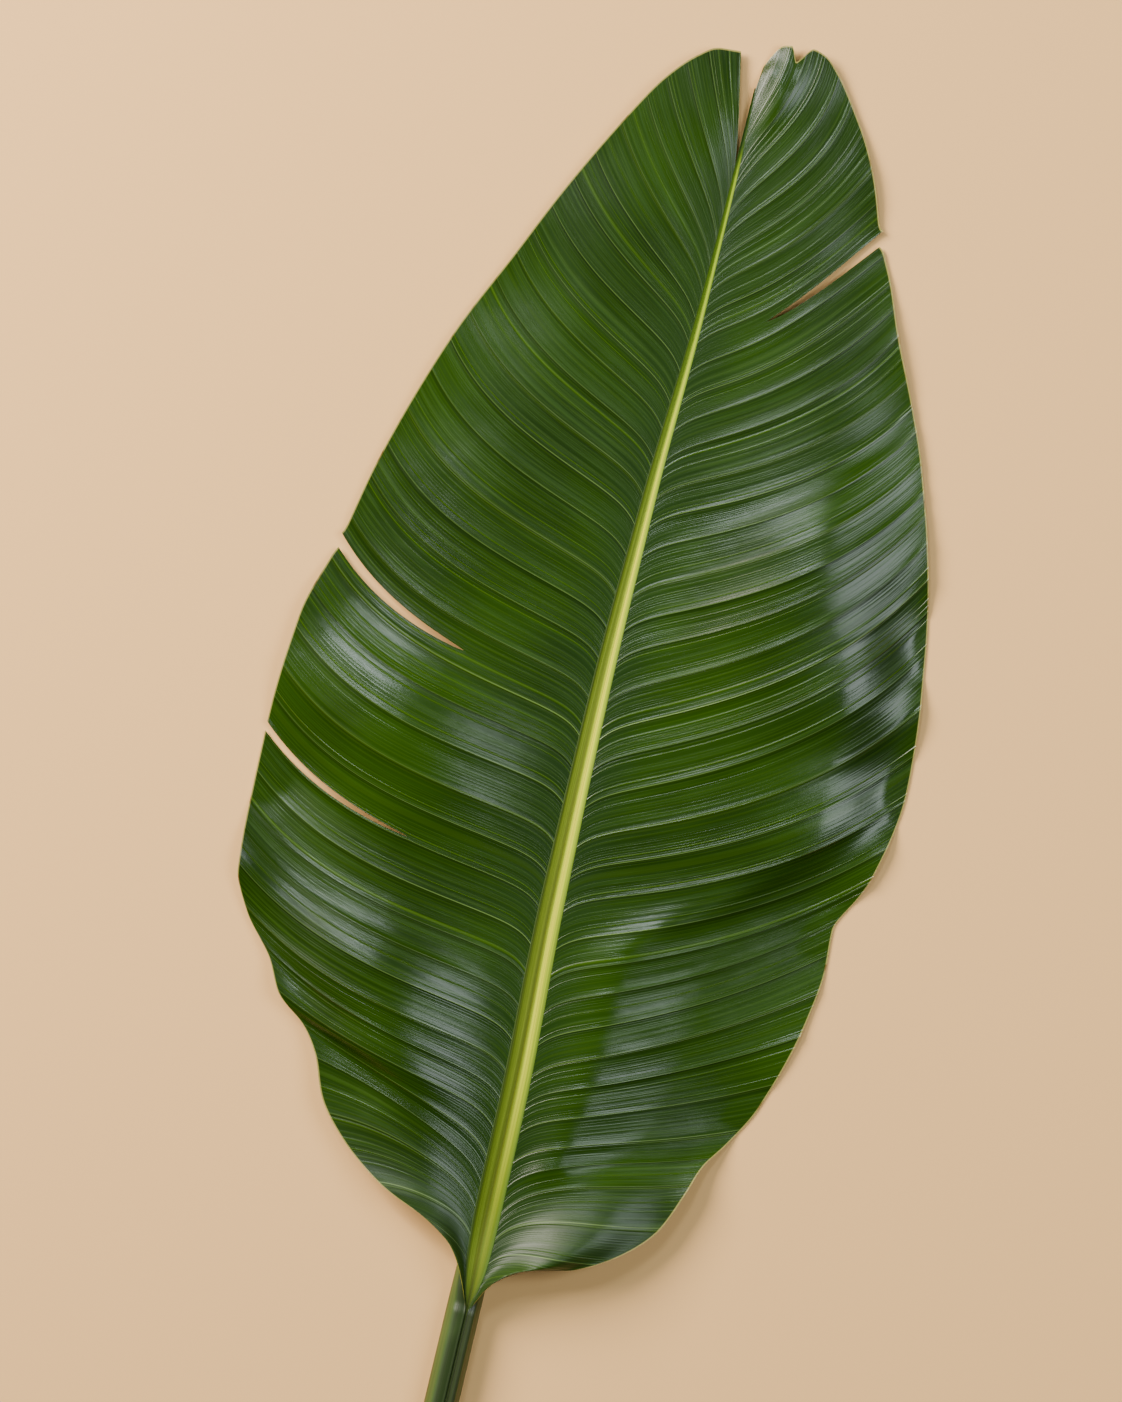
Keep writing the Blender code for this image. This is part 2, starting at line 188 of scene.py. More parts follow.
def station_of(pleat):
    """Rib station of a pleat number: a little crowded at both ends and never quite even."""
    t = pleat / PLEATS
    wander = VEIN_WANDER * (np.sin(1.9 * pleat) + 0.5 * np.sin(4.3 * pleat)) * np.minimum(1, 4 * t * (1 - t))
    return RIB_LENGTH * (t - VEIN_CROWDING * np.sin(2 * pi * t)) + wander


def pleat_of(stations):
    """Pleat number at each station; past the split it runs on at the last spacing."""
    numbers = np.linspace(0, PLEATS, 2001)
    inside = np.interp(stations, station_of(numbers), numbers)
    last = station_of(float(PLEATS)) - station_of(PLEATS - 1.0)
    return inside + np.maximum(0, stations - RIB_LENGTH) / last


def pleat_wave(pleat):
    """+1 on a vein's sharp crest, -1 in the broad valley half way to the next."""
    f = pleat - np.floor(pleat)
    return 2 * np.abs((f - PLEAT_VALLEY) / PLEAT_VALLEY) ** PLEAT_SHARPNESS - 1


def blade_surface(side, s, u):
    """Grids of the upper face's x, y, z in mm and of the vein's length, for rows s and columns u."""
    s = s[:, None]
    u = u[None, :]
    x0 = smooth(RIB_ACROSS, s) + side * smooth(CHANNEL_HALF, s)
    x3 = side * smooth(MARGIN[side], s, 2)
    y3 = smooth(MARGIN[side], s, 1)
    hook = np.minimum(HOOK, HOOK_SHARE * np.hypot(x3 - x0, y3 - s))
    y0 = s + hook
    out = side * (x3 - x0)
    chord = np.arctan2(y3 - y0, out)
    start = chord - np.radians(smooth(TURN[side], s, 1))
    end = chord + np.radians(smooth(TURN[side], s, 2))
    length = np.hypot(out, y3 - y0)
    handle = HANDLE_SHARE * length
    x1 = x0 + side * handle * np.cos(start)
    y1 = y0 + handle * np.sin(start)
    x2 = x3 - side * handle * np.cos(end)
    y2 = y3 - handle * np.sin(end)
    v = 1 - u
    x = v**3 * x0 + 3 * v * v * u * x1 + 3 * v * u * u * x2 + u**3 * x3
    y = v**3 * y0 + 3 * v * v * u * y1 + 3 * v * u * u * y2 + u**3 * y3
    y = y - hook * np.exp(-u * length / HOOK_REACH) * v

    rim = smooth(KEEL_BOTTOM, s) + smooth(RIB_DEPTH, s)
    margin = smooth(HEIGHT[side], s, 1)
    crest = smooth(HEIGHT[side], s, 2)
    top = smooth(CREST_AT[side], s)
    hump = np.where(u < top, np.sin(pi / 2 * u / top), np.cos(pi / 2 * (u - top) / (1 - top))) ** 2
    fallen = np.minimum(1, u / smooth(SAG_END[side], s))
    sag = fallen * fallen * (3 - 2 * fallen)
    along = 2 * pi * y / RIPPLE_LENGTH
    wave = np.sin(along + side) + 0.5 * np.sin(RIPPLE_OVERTONE * along)
    ripple = smooth(RIPPLE_HEIGHT[side], s) * u**3 * wave
    fold = smooth(PLEAT_HEIGHT, s) * np.minimum(1, u / PLEATS_FULL_AT) * (1 - PLEATS_FADE * u)
    number = pleat_of(s)
    fold = fold * (1 + PLEATS_VARY * np.sin(2.3 * number + 1)) * pleat_wave(number)
    z = rim + crest * hump + (margin - rim) * sag + ripple + fold
    return x, y, np.maximum(z, BLADE_THICKNESS), np.broadcast_to(length, x.shape)


def open_tear(s, u, y, z, tear, flap):
    """Moves the rows near a tear off its line: flap +1 for the part above it, -1 below."""
    _, station, gap, lift, apex = tear
    near = np.clip(1 - np.abs(s - station) / TEAR_SPREAD, 0, 1)[:, None] ** 2
    opened = np.clip((u - apex) / (1 - apex), 0, 1)[None, :]
    y = y + flap * 0.5 * gap * opened**TEAR_SHAPE * near
    if flap > 0:
        z = z + lift * opened**2 * near
    return y, z


def blade_rows(side):
    """Stations of a half's rows, split into runs at its tears."""
    pleats = np.arange(0, PLEATS * ROWS_PER_PLEAT + 1) / ROWS_PER_PLEAT
    stations = station_of(pleats)
    if side == RIGHT:
        strip = np.arange(RIB_LENGTH + STRIP_STEP, STRIP_END, STRIP_STEP)
        stations = np.concatenate([stations, strip, [STRIP_END]])
    cuts = [tear for tear in TEARS if tear[0] == side]
    runs = []
    start = -1.0
    below = None
    for tear in cuts + [None]:
        stop = tear[1] if tear else BLADE_END[side] + 1
        rows = stations[(stations > start + TEAR_CLEARANCE) & (stations < stop - TEAR_CLEARANCE)]
        if below:
            rows = np.concatenate([[start], rows])
        if tear:
            rows = np.concatenate([rows, [stop]])
        runs.append((rows, below, tear))
        start = stop
        below = tear
    return runs


# The frame's box says where the part's own axes lie
BOX_LOW, BOX_HIGH = [Vector(corner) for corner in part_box("leaf")]
WIDEST_LEFT = max(key[2] for key in LEFT_MARGIN)
SHIFT_X = -WIDEST_LEFT - BOX_LOW.x / MM
SHIFT_Y = -STALK_LENGTH - BOX_LOW.y / MM


def to_frame(x, y, z):
    """Points in mm along the leaf's own axes, as metres in the frame."""
    return np.stack([x - SHIFT_X, y - SHIFT_Y, z], axis=-1).reshape(-1, 3) * MM


# Material numbers of a piece's faces
ABOVE = 0
BELOW = 1
EDGE = 2

# Points closer than this are one, in metres
WELD = 1e-6


class Sheet:
    """Collects points, faces, per-face material numbers and two sets of map coordinates."""

    def __init__(self):
        self.points = []
        self.vein_map = []
        self.edge_map = []
        self.faces = []
        self.slots = []
        self.count = 0

    def grid(self, points, vein_map, edge_map, rows, columns, slot, flip):
        first = self.count
        self.points.append(points)
        self.vein_map.append(vein_map)
        self.edge_map.append(edge_map)
        self.count += rows * columns
        r, c = np.meshgrid(np.arange(rows - 1), np.arange(columns - 1), indexing="ij")
        a = (first + r * columns + c).ravel()
        quad = np.stack([a, a + 1, a + columns + 1, a + columns], axis=1)
        if flip:
            quad = quad[:, ::-1]
        self.faces.append(quad)
        self.slots.append(np.full(len(quad), slot))
        return first

    def wall(self, first, second, flip):
        """A rim between two lines of the sheet's points, on points of its own to keep its edges crisp."""
        pick = np.stack([first, second], axis=1).ravel()
        maps = [np.concatenate(values)[pick] for values in (self.points, self.vein_map, self.edge_map)]
        self.grid(maps[0], maps[1], maps[2], len(first), 2, EDGE, not flip)

    def to_object(self, name, materials):
        points = np.concatenate(self.points)
        faces = np.concatenate(self.faces)
        mesh = bpy.data.meshes.new(name)
        mesh.from_pydata(points.tolist(), [], faces.tolist())
        mesh.polygons.foreach_set("material_index", np.concatenate(self.slots).astype(np.int32))
        mesh.polygons.foreach_set("use_smooth", np.ones(len(faces), dtype=bool))
        corner = np.zeros(len(mesh.loops), dtype=np.int32)
        mesh.loops.foreach_get("vertex_index", corner)
        for layer_name, values in (("vein", self.vein_map), ("edge", self.edge_map)):
            layer = mesh.uv_layers.new(name=layer_name)
            layer.data.foreach_set("uv", np.concatenate(values)[corner].astype(np.float32).ravel())
        for material in materials:
            mesh.materials.append(material)
        piece = bpy.data.objects.new(name, mesh)
        bpy.context.scene.collection.objects.link(piece)
        return piece


# Sizes in mm behind the patterns. The maps measure metres along the leaf and along its veins.
# Across the veins they count pleats, across the channel half widths and round the stalk turns.
PLEAT_WIDTH = RIB_LENGTH / PLEATS
CHANNEL_HALF_WIDTH = 7.6
STALK_GIRTH = 50.0

# Minor veins to a pleat, how many spacings they wander, and veinlets to a minor vein
MINOR_VEINS = 4.0
MINOR_WANDER = 2.4
VEINLETS = 2.5

SMOOTH = {"interpolation_type": "SMOOTHSTEP"}


def srgb(code):
    """Linear colour of a hex code."""
    parts = [int(code[i:i + 2], 16) / 255 for i in (1, 3, 5)]
    return tuple(p / 12.92 if p <= 0.04045 else ((p + 0.055) / 1.055) ** 2.4 for p in parts) + (1.0,)


def new_material(name):
    """A material and its tree of nodes."""
    material = bpy.data.materials.new(name)
    material.use_nodes = True
    return material, material.node_tree


def fill(tree, node, inputs):
    """Sets each input of a node, or links it where the value comes from another node."""
    for key, value in inputs.items():
        if isinstance(value, bpy.types.NodeSocket):
            tree.links.new(value, node.inputs[key])
        else:
            node.inputs[key].default_value = value


def add(tree, kind, inputs, output=0, **settings):
    """Adds one node with its settings and links, and gives the output asked for."""
    node = tree.nodes.new("ShaderNode" + kind)
    for key, value in settings.items():
        setattr(node, key, value)
    fill(tree, node, inputs)
    return node.outputs[output]


def finish(tree, inputs):
    """Gives the surface its colour, gloss and relief."""
    fill(tree, tree.nodes["Principled BSDF"], inputs)


def graded(value, low, high, to_low=0.0, to_high=1.0):
    """Inputs of a smooth step of a value from one range to another."""
    return {"Value": value, "From Min": low, "From Max": high, "To Min": to_low, "To Max": to_high}


def per_metre(size):
    """How often something of a size in mm fits in a metre."""
    return 1 / (size * MM)


def map_of(tree, name):
    """The two coordinates of one of the piece's maps."""
    first = add(tree, "SeparateXYZ", {0: add(tree, "UVMap", {}, uv_map=name)})
    return first, first.node.outputs[1]


def drawn_out(tree, first, first_scale, second, second_scale, detail=2.0, roughness=0.5):
    """Noise on two coordinates, each with its own scale, so that it is drawn out along one of them."""
    x = add(tree, "Math", {0: first, 1: first_scale}, operation="MULTIPLY")
    y = add(tree, "Math", {0: second, 1: second_scale}, operation="MULTIPLY")
    place = add(tree, "CombineXYZ", {0: x, 1: y})
    inputs = {"Vector": place, "Scale": 1.0, "Detail": detail, "Roughness": roughness}
    return add(tree, "TexNoise", inputs)


def spots_along(tree, station, size):
    """Noise along the leaf alone, with spots of a size in mm."""
    place = add(tree, "CombineXYZ", {0: station})
    return add(tree, "TexNoise", {"Vector": place, "Scale": per_metre(size), "Detail": 3.0})


def lines(tree, value, spacing, width):
    """1 on lines a spacing apart along a value, falling to 0 at half the width away."""
    offset = add(tree, "Math", {0: value, 1: spacing / 2}, operation="PINGPONG")
    return add(tree, "MapRange", graded(offset, width / 2, 0.0), **SMOOTH)


def band(tree, value, rise, fall, least=0.0):
    """1 between a rise and a fall of a value, each given by the two ends of a smooth step."""
    up = add(tree, "MapRange", graded(value, rise[0], rise[1], least), **SMOOTH)
    down = add(tree, "MapRange", graded(value, fall[0], fall[1]), **SMOOTH)
    return add(tree, "Math", {0: up, 1: down}, operation="MULTIPLY")


def tinted(tree, colour, tint, value, low, high, strength=1.0):
    """A colour with a tint laid over it as a value goes from low to high."""
    share = add(tree, "MapRange", graded(value, low, high, 0.0, strength), **SMOOTH)
    return add(tree, "Mix", {0: share, 6: colour, 7: tint}, 2, data_type="RGBA")


def veiled(tree, colour, tint, pattern, strength):
    """A colour with a tint laid over it where a pattern is."""
    share = add(tree, "Math", {0: pattern, 1: strength}, operation="MULTIPLY")
    return add(tree, "Mix", {0: share, 6: colour, 7: tint}, 2, data_type="RGBA")


def relief(tree, parts):
    """Height in mm of patterns that lie on each other, each given with its own height."""
    height = 0.0
    for pattern, rise in parts:
        height = add(tree, "Math", {0: pattern, 1: rise, 2: height}, operation="MULTIPLY_ADD")
    return height


def margin_colour(tree, station):
    """Straw-coloured fibre with dried brown spots about 17 mm long."""
    spots = spots_along(tree, station, 16.667)
    return tinted(tree, srgb("#b4aa5e"), srgb("#7c5228"), spots, 0.56, 0.68)


def leaf_upper():
    # Living leaf under a smooth wax: a deep, saturated green with a satin gloss
    # that breaks into long glints, because the pleats and veins bend it.
    material, tree = new_material("waxy_leaf_upper_skin")
    reach, pleat = map_of(tree, "vein")
    inset, station = map_of(tree, "edge")
    place = add(tree, "TexCoord", {}, 3)
    own_pleat = add(tree, "Math", {0: pleat}, operation="FLOOR")
    fraction = add(tree, "Math", {0: pleat, 1: own_pleat}, operation="SUBTRACT")
    pleat_tone = add(tree, "TexWhiteNoise", {"W": own_pleat}, noise_dimensions="1D")

    # Growth clouds 110 mm across, streaks 90 mm by 2.4 mm, fibres 25 mm by 0.5 mm
    # and a grain of 2.4 mm, coarser than the real 0.1 mm cells so that it shows
    clouds = add(tree, "TexNoise", {"Vector": place, "Scale": per_metre(111.11), "Detail": 3.0})
    streaks = drawn_out(tree, reach, per_metre(90.91), pleat, PLEAT_WIDTH / 2.436, 4.0, 0.6)
    fibres = drawn_out(tree, reach, per_metre(25.0), pleat, PLEAT_WIDTH / 0.5015)
    grain = drawn_out(tree, reach, per_metre(2.381), pleat, PLEAT_WIDTH / 2.842)
    dents = add(tree, "TexNoise", {"Vector": place, "Scale": per_metre(38.46)})

    colour = tinted(tree, srgb("#162e00"), srgb("#234100"), clouds, 0.35, 0.68)
    colour = tinted(tree, colour, srgb("#2c4f04"), streaks, 0.42, 0.75, 0.45)
    colour = veiled(tree, colour, srgb("#142a02"), pleat_tone, 0.3)
    colour = tinted(tree, colour, srgb("#1a3110"), reach, 30 * MM, 0.0, 0.55)
    # Painted shade: a darker band on the base side of each vein, where the vein's ridge would shade the skin
    colour = tinted(tree, colour, srgb("#0d2000"), fraction, 0.8, 0.98, 0.62)

    # Main veins 0.6 mm wide on the pleats' crests, no two alike
    vein_tone = add(tree, "Math", {0: pleat}, operation="ROUND")
    vein_tone = add(tree, "TexWhiteNoise", {"W": vein_tone}, noise_dimensions="1D")
    vein_tone = add(tree, "MapRange", graded(vein_tone, 0.0, 1.0, 0.45, 1.0), **SMOOTH)
    vein = lines(tree, pleat, 1.0, 0.614 / PLEAT_WIDTH)
    vein = add(tree, "Math", {0: vein, 1: vein_tone}, operation="MULTIPLY")
    vein_strength = add(tree, "MapRange", graded(reach, 0.0, 120 * MM, 0.7, 0.3), **SMOOTH)

    # Minor veins 1.1 mm wide and 4.3 mm apart that wander a little, and veinlets between
    # them, drawn 1.7 mm apart because the real 0.4 mm is too fine to show
    wander = add(tree, "TexNoise", {"Vector": add(tree, "CombineXYZ", {1: pleat}), "Scale": 1.7})
    wander = add(tree, "Math", {0: wander, 1: MINOR_WANDER}, operation="MULTIPLY")
    between = add(tree, "Math", {0: pleat, 1: MINOR_VEINS, 2: wander}, operation="MULTIPLY_ADD")
    minor_tone = add(tree, "Math", {0: between}, operation="ROUND")
    minor_tone = add(tree, "TexWhiteNoise", {"W": minor_tone}, noise_dimensions="1D")
    minor_tone = add(tree, "MapRange", graded(minor_tone, 0.2, 1.0), **SMOOTH)
    minor = lines(tree, between, 1.0, 0.26)
    minor = add(tree, "Math", {0: minor, 1: minor_tone}, operation="MULTIPLY")
    veinlets = add(tree, "Math", {0: between, 1: VEINLETS}, operation="MULTIPLY")
    veinlets = lines(tree, veinlets, 1.0, 0.6)
    colour = veiled(tree, colour, srgb("#4d6c12"), veinlets, 0.13)
    colour = veiled(tree, colour, srgb("#507212"), minor, 0.4)
    colour = veiled(tree, colour, srgb("#7b9a50"), vein, vein_strength)

    # A straw-coloured thread 1 mm wide along the margin, and a yellower fold round the base
    colour = tinted(tree, colour, margin_colour(tree, station), inset, 1.1 * MM, 0.4 * MM, 0.7)
    near_edge = add(tree, "MapRange", graded(inset, 1.8 * MM, 0.9 * MM), **SMOOTH)
    near_base = add(tree, "MapRange", graded(station, 30 * MM, 6 * MM), **SMOOTH)
    colour = veiled(tree, colour, srgb("#a09a2c"), near_edge, near_base)

    # Each vein is a ridge, and the skin between two veins swells by an amount of its own
    near_side = add(tree, "MapRange", graded(fraction, 0.95, 1.0), **SMOOTH)
    far_side = add(tree, "MapRange", graded(fraction, 0.08, 0.0), **SMOOTH)
    ridge = add(tree, "Math", {0: near_side, 1: far_side}, operation="MAXIMUM")
    pillow = add(tree, "Math", {0: 1.0, 1: fraction}, operation="SUBTRACT")
    pillow = add(tree, "Math", {0: fraction, 1: pillow}, operation="MULTIPLY")
    pillow = add(tree, "Math", {0: pillow, 1: pleat_tone}, operation="MULTIPLY")
    height = relief(tree, ((ridge, 0.13), (minor, 0.2), (pillow, 0.9), (veinlets, 0.035), (fibres, 0.03),
                           (grain, 0.025), (streaks, 0.13), (dents, 0.7)))
    calmer_tip = add(tree, "MapRange", graded(station, 380 * MM, 500 * MM, 1.0, 0.4), **SMOOTH)
    height = add(tree, "Math", {0: height, 1: calmer_tip}, operation="MULTIPLY")
    normal = add(tree, "Bump", {"Height": height, "Distance": MM, "Strength": 1.0})

    # The wax is worn duller on the last 70 mm towards the stalk
    gloss = add(tree, "MapRange", graded(streaks, 0.3, 0.7, 0.22, 0.3), **SMOOTH)
    worn = add(tree, "MapRange", graded(station, 75 * MM, 20 * MM, 0.0, 0.2), **SMOOTH)
    roughness = add(tree, "Math", {0: gloss, 1: worn}, operation="ADD")
    finish(tree, {"Base Color": colour, "Roughness": roughness, "Specular IOR Level": 0.4, "Normal": normal})
    return material


def leaf_under():
    # Underside with a powdery bloom: paler and greyer, nearly without gloss,
    # with main veins 1 mm wide standing out and minor ones 4.3 mm apart.
    material, tree = new_material("powdery_leaf_underside")
    reach, pleat = map_of(tree, "vein")
    fibres = drawn_out(tree, reach, per_metre(50.0), pleat, PLEAT_WIDTH / 0.7105, 3.0, 0.55)
    vein = lines(tree, pleat, 1.0, 1.023 / PLEAT_WIDTH)
    shifted = add(tree, "Math", {0: pleat, 1: 0.11}, operation="ADD")
    minor = lines(tree, shifted, 1.0 / MINOR_VEINS, 0.597 / PLEAT_WIDTH)
    colour = tinted(tree, srgb("#3a5a20"), srgb("#4b6d2e"), fibres, 0.3, 0.7)
    colour = veiled(tree, colour, srgb("#66854a"), minor, 0.3)
    colour = veiled(tree, colour, srgb("#86a060"), vein, 0.7)
    height = relief(tree, ((vein, 0.4), (minor, 0.15), (fibres, 0.2)))
    normal = add(tree, "Bump", {"Height": height, "Distance": MM, "Strength": 0.8})
    finish(tree, {"Base Color": colour, "Roughness": 0.62, "Normal": normal})
    return material


def leaf_margin():
    # The blade's rim has dried to a thread of fibre: straw-coloured, browned in places and matt.
    material, tree = new_material("dry_leaf_margin")
    inset, station = map_of(tree, "edge")
    finish(tree, {"Base Color": margin_colour(tree, station), "Roughness": 0.7})
    return material


def rib_upper():
    # Fibrous skin of the midrib's channel: an olive left wall, a brownish bottom and a
    # bright yellow-green right wall, matt, with fibres 0.95 mm wide and 250 mm long.
    material, tree = new_material("fibrous_midrib_channel")
    across, station = map_of(tree, "vein")
    fibres = drawn_out(tree, across, CHANNEL_HALF_WIDTH / 0.95, station, per_metre(250.0), 3.0, 0.6)
    left = tinted(tree, srgb("#7d9220"), srgb("#8ea030"), station, 0.02, 0.2)
    left = tinted(tree, left, srgb("#5f8010"), station, 0.34, 0.62)
    right = tinted(tree, srgb("#4f6600"), srgb("#aac200"), station, 0.02, 0.2)
    right = tinted(tree, right, srgb("#8cab08"), station, 0.34, 0.62)
    colour = tinted(tree, left, right, across, -0.2, 0.2)
    pale = band(tree, across, (0.1, 0.34), (0.7, 0.42))
    pale_end = band(tree, station, (0.03, 0.24), (0.62, 0.42), 0.1)
    pale = add(tree, "Math", {0: pale, 1: pale_end}, operation="MULTIPLY")
    colour = veiled(tree, colour, srgb("#e8e200"), pale, 0.75)
    dark = band(tree, across, (-0.45, -0.08), (0.25, -0.08))
    dark_end = add(tree, "MapRange", graded(station, 0.5, 0.15, 0.25, 1.0), **SMOOTH)
    dark = add(tree, "Math", {0: dark, 1: dark_end}, operation="MULTIPLY")
    colour = veiled(tree, colour, srgb("#4c4a06"), dark, 0.75)
    colour = tinted(tree, colour, srgb("#566a0a"), fibres, 0.42, 0.6, 0.45)
    colour = tinted(tree, colour, srgb("#3f5f18"), across, 0.62, 1.0, 0.85)
    colour = tinted(tree, colour, srgb("#243c10"), across, -0.55, -1.0, 0.9)
    colour = tinted(tree, colour, srgb("#223209"), station, 0.02, -0.006)
    colour = tinted(tree, colour, srgb("#284600"), station, 0.638, 0.662)
    height = relief(tree, ((fibres, 0.5),))
    normal = add(tree, "Bump", {"Height": height, "Distance": MM, "Strength": 0.8})
    finish(tree, {"Base Color": colour, "Roughness": 0.55, "Specular IOR Level": 0.2, "Normal": normal})
    return material


def stalk_skin():
    # Firm smooth skin of the stalk and keel: a satin deep green with a painted sheen along one flank
    # and painted shade beside it, with fine lengthwise ribs 1.9 mm apart and faint mottles 12 mm by 33 mm.
    material, tree = new_material("smooth_stalk_skin")
    around, station = map_of(tree, "vein")
    ribs = drawn_out(tree, around, STALK_GIRTH / 1.923, station, per_metre(333.3), 3.0, 0.55)
    mottle = drawn_out(tree, around, STALK_GIRTH / 12.5, station, per_metre(33.33), 3.0)
    colour = tinted(tree, srgb("#20330a"), srgb("#34501a"), ribs, 0.38, 0.62)
    # Painted sheen: a paler band along the left flank, where light from the upper left would glance off
    colour = tinted(tree, colour, srgb("#4a662e"), around, 0.69, 0.75, 0.6)
    # Painted shade: a darker band between that sheen and the groove on top
    colour = tinted(tree, colour, srgb("#1c2c08"), around, 0.745, 0.84, 0.9)
    colour = tinted(tree, colour, srgb("#333412"), around, 0.3, 0.12, 0.6)
    colour = tinted(tree, colour, srgb("#506c34"), mottle, 0.5, 0.8, 0.2)
    height = relief(tree, ((ribs, 0.5),))
    normal = add(tree, "Bump", {"Height": height, "Distance": MM, "Strength": 0.6})
    finish(tree, {"Base Color": colour, "Roughness": 0.38, "Normal": normal})
    return material


def stalk_cut():
    # Freshly cut pith: pale, moist and a little glossy, with air channels 1.4 mm apart.
    material, tree = new_material("moist_cut_pith")
    place = add(tree, "TexCoord", {}, 3)
    cells = add(tree, "TexVoronoi", {"Vector": place, "Scale": per_metre(1.4286)})
    colour = tinted(tree, srgb("#7f9148"), srgb("#c6cf94"), cells, 0.1, 0.5)
    finish(tree, {"Base Color": colour, "Roughness": 0.5})
    return material


def floor_paint():
    # Emulsion paint, rolled on: matt, pale and warm, so that it shows shadows but no reflections
    material, tree = new_material("matt_floor_paint")
    finish(tree, {"Base Color": srgb("#fac580"), "Roughness": 0.9})
    return material


def make_blade(name, side, materials):
    """One half of the blade: upper and lower skins and the rim between them."""
    sheet = Sheet()
    u = np.concatenate([[0.0], (np.arange(1, COLUMNS + 1) / COLUMNS) ** COLUMN_SPREAD])
    columns = len(u)
    for rows, below, above in blade_rows(side):
        x, y, z, length = blade_surface(side, rows, u)
        if below:
            y, z = open_tear(rows, u, y, z, below, 1)
        if above:
            y, z = open_tear(rows, u, y, z, above, -1)
        thick = BLADE_THICKNESS + (EDGE_THICKNESS - BLADE_THICKNESS) * u[None, :]
        reach = u[None, :] * length * MM
        pleat = np.broadcast_to(pleat_of(rows)[:, None], x.shape)
        vein_map = np.stack([reach, pleat], axis=-1).reshape(-1, 2)
        inset = (1 - u[None, :]) * length * MM
        station = np.broadcast_to(rows[:, None] * MM, x.shape)
        edge_map = np.stack([inset, station], axis=-1).reshape(-1, 2)
        top = sheet.grid(to_frame(x, y, z), vein_map, edge_map, len(rows), columns, ABOVE, side == LEFT)
        under = sheet.grid(to_frame(x, y, z - thick), vein_map, edge_map, len(rows), columns, BELOW,
                           side == RIGHT)
        rim = (np.arange(len(rows)) + 1) * columns - 1
        ends = np.arange(columns)
        last = (len(rows) - 1) * columns
        sheet.wall(top + rim, under + rim, side == RIGHT)
        sheet.wall(top + ends, under + ends, side == RIGHT)
        sheet.wall(top + last + ends, under + last + ends, side == LEFT)
    return sheet.to_object(name, materials)


# Section of the channel: (across in parts of its half width, height in parts of its depth)
CHANNEL_PROFILE = ((-1, 0), (-0.92, -0.02), (-0.75, -0.3), (-0.5, -0.62), (-0.25, -0.88), (-0.1, -0.98),
                   (0, -1), (0.1, -0.98), (0.25, -0.88), (0.5, -0.62), (0.75, -0.3), (0.92, -0.02), (1, 0))

# Shoulders between channel and keel: (share of the way out, drop in parts of the rib's depth)
SHOULDERS = ((0.4, 0.03), (0.7, 0.14))

# Corners of the keel: (half width in parts of the keel's, height in parts of the rib's depth)
KEEL_CORNERS = ((1, 0.5), (0.8, 0.16), (0.4, 0))


def rib_section(s):
    """Channel points and keel points of the section at one station, in mm."""
    centre = float(smooth(RIB_ACROSS, s))
    offset = float(smooth(KEEL_OFFSET, s))
    bottom = float(smooth(KEEL_BOTTOM, s))
    depth = float(smooth(RIB_DEPTH, s))
    keel = float(smooth(KEEL_HALF, s))
    channel = float(smooth(CHANNEL_HALF, s))
    groove = float(smooth(CHANNEL_DEPTH, s))
    rim = bottom + depth
    wall_height = min(BLADE_THICKNESS, 0.4 * depth) if s > 0 else STALK_STEP
    upper = [(centre + a * channel, s, rim + b * groove) for a, b in CHANNEL_PROFILE]
    lower = []
    for side in (RIGHT, LEFT):
        edge = side * channel
        way_out = offset + side * keel - edge
        corners = [(edge, rim), (edge, rim - wall_height)]
        corners += [(edge + a * way_out, rim - wall_height - b * depth) for a, b in SHOULDERS]
        corners += [(offset + side * a * keel, bottom + b * depth) for a, b in KEEL_CORNERS]
        half = rounded(corners)
        lower += half if side == RIGHT else half[::-1]
    return upper, [(centre + x, s, z) for x, z in lower]


def rounded(corners, steps=3):
    """A curve through the corners of an open outline, by Catmull-Rom spans."""
    p = [corners[0]] + list(corners) + [corners[-1]]
    curve = []
    for i in range(1, len(p) - 2):
        for k in range(steps):
            w = k / steps
            point = []
            for axis in range(2):
                a, b, c, d = (p[i + n][axis] for n in (-1, 0, 1, 2))
                point.append(0.5 * (2 * b + (c - a) * w + (2 * a - 5 * b + 4 * c - d) * w * w
                                    + (3 * b - a - 3 * c + d) * w**3))
            curve.append(tuple(point))
    curve.append(corners[-1])
    return curve


def make_rib(name, materials):
    """Midrib and stalk in one, with the channel, the keel and the cut end."""
    stations = np.arange(-STALK_LENGTH, STRIP_END, RIB_STEP).tolist() + [STRIP_END]
    uppers = []
    lowers = []
    for s in stations:
        upper, lower = rib_section(s)
        uppers.append(upper)
        lowers.append(lower)
    sheet = Sheet()
    for rows, slot in ((uppers, ABOVE), (lowers, BELOW)):
        grid = np.array(rows)
        count = grid.shape[1]
        along = np.repeat(np.array(stations) * MM, count)
        if slot == ABOVE:
            across = np.tile([a for a, b in CHANNEL_PROFILE], len(stations))
        else:
            across = np.tile(np.linspace(0, 1, count), len(stations))
        vein_map = np.stack([across, along], axis=-1)
        points = to_frame(grid[..., 0], grid[..., 1], grid[..., 2])
        sheet.grid(points, vein_map, vein_map, len(stations), count, slot, False)
    piece = sheet.to_object(name, materials)
    close_ends(piece, uppers, lowers)
    return piece


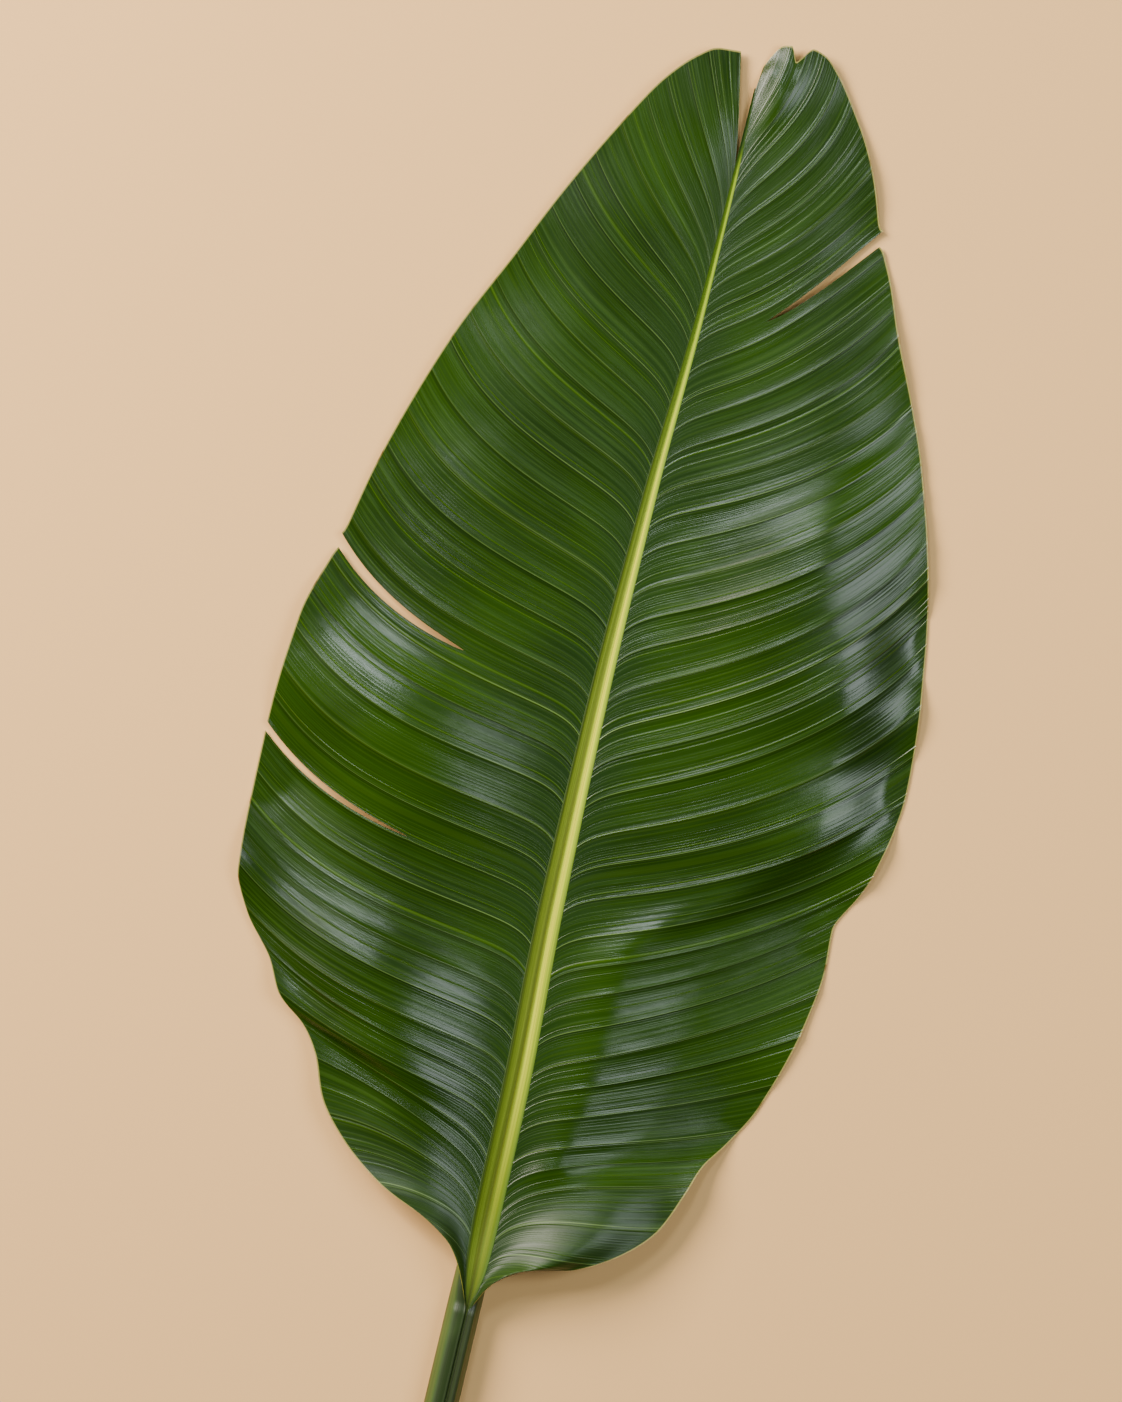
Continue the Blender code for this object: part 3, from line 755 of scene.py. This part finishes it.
def close_ends(piece, uppers, lowers):
    """Caps the cut end and the thin end of the strip."""
    mesh = piece.data
    base_lower = len(uppers) * len(uppers[0])
    last = len(uppers) - 1
    rings = []
    for row in (0, last):
        ring = [row * len(uppers[0]) + i for i in range(len(uppers[0]))]
        ring += [base_lower + row * len(lowers[0]) + i for i in range(len(lowers[0]))]
        rings.append(ring)
    bm = bmesh.new()
    bm.from_mesh(mesh)
    bm.verts.ensure_lookup_table()
    for ring in rings:
        face = bm.faces.new([bm.verts[i] for i in ring])
        face.material_index = EDGE
    bmesh.ops.remove_doubles(bm, verts=bm.verts, dist=WELD)
    bmesh.ops.recalc_face_normals(bm, faces=bm.faces)
    bm.to_mesh(mesh)
    bm.free()


def finish_piece(piece):
    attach(piece, "root")
    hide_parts("leaf")


UPPER = leaf_upper()
UNDER = leaf_under()
RIM = leaf_margin()
for piece in (make_blade("blade_left_half", LEFT, (UPPER, UNDER, RIM)),
              make_blade("blade_right_half", RIGHT, (UPPER, UNDER, RIM)),
              make_rib("midrib_and_stalk", (rib_upper(), stalk_skin(), stalk_cut()))):
    finish_piece(piece)


# Floor and camera, in metres and degrees
FLOOR_REACH = 9.0
LEAN = radians(13.23)
FRAME_HEIGHT = 0.7711
FRAME_MIDDLE = (-0.0212, 0.0984)
LEAF_MID_HEIGHT = 0.014
CAMERA_DISTANCE = 3.2
SENSOR = 36.0


def make_floor():
    mesh = bpy.data.meshes.new("floor")
    corners = [(x * FLOOR_REACH, y * FLOOR_REACH, 0) for x, y in ((-1, -1), (1, -1), (1, 1), (-1, 1))]
    mesh.from_pydata(corners, [], [(0, 1, 2, 3)])
    floor = bpy.data.objects.new("floor", mesh)
    bpy.context.scene.collection.objects.link(floor)
    mesh.materials.append(floor_paint())


def area_light(name, place, target, size, power, colour):
    data = bpy.data.lights.new(name, "AREA")
    data.shape = "RECTANGLE"
    data.size, data.size_y = size
    data.energy = power
    data.color = colour
    light = bpy.data.objects.new(name, data)
    light.location = place
    light.rotation_euler = (Vector(target) - Vector(place)).to_track_quat("-Z", "Y").to_euler()
    bpy.context.scene.collection.objects.link(light)


def make_camera():
    """Looks straight down, rolled so that the leaf leans as in the photo."""
    data = bpy.data.cameras.new("camera")
    data.sensor_width = SENSOR
    data.lens = SENSOR * CAMERA_DISTANCE / FRAME_HEIGHT
    camera = bpy.data.objects.new("camera", data)
    camera.location = FRAME_MIDDLE + (LEAF_MID_HEIGHT + CAMERA_DISTANCE,)
    camera.rotation_euler = (0, 0, LEAN)
    bpy.context.scene.collection.objects.link(camera)
    bpy.context.scene.camera = camera


make_floor()
make_camera()


def in_view(right, up, height):
    """A place given by the picture's right and up directions from the middle of the leaf."""
    return (right * cos(LEAN) - up * sin(LEAN), right * sin(LEAN) + up * cos(LEAN), height)


# A small light above the tip draws the glints, a broad warm one lights the leaf and the floor from the
# upper left, and a cool one at the right gives the right half its sheen
MIDDLE = in_view(0, 0.1, 0)
WARM = (1.0, 0.92, 0.82)
COOL = (0.88, 0.97, 1.0)
AMBIENT = (1.0, 0.94, 0.86, 1.0)
AMBIENT_STRENGTH = 0.05
area_light("glint", in_view(-0.38, 1.26, 2.3), MIDDLE, (0.45, 0.45), 14.5, COOL)
area_light("main", in_view(-1.8, 1.45, 1.55), MIDDLE, (1.4, 1.4), 172.0, WARM)
area_light("side", in_view(1.4, 0.15, 1.9), MIDDLE, (0.9, 1.3), 30.0, COOL)
world = bpy.data.worlds.new("studio")
bpy.context.scene.world = world
world.use_nodes = True
world.node_tree.nodes["Background"].inputs["Color"].default_value = AMBIENT
world.node_tree.nodes["Background"].inputs["Strength"].default_value = AMBIENT_STRENGTH
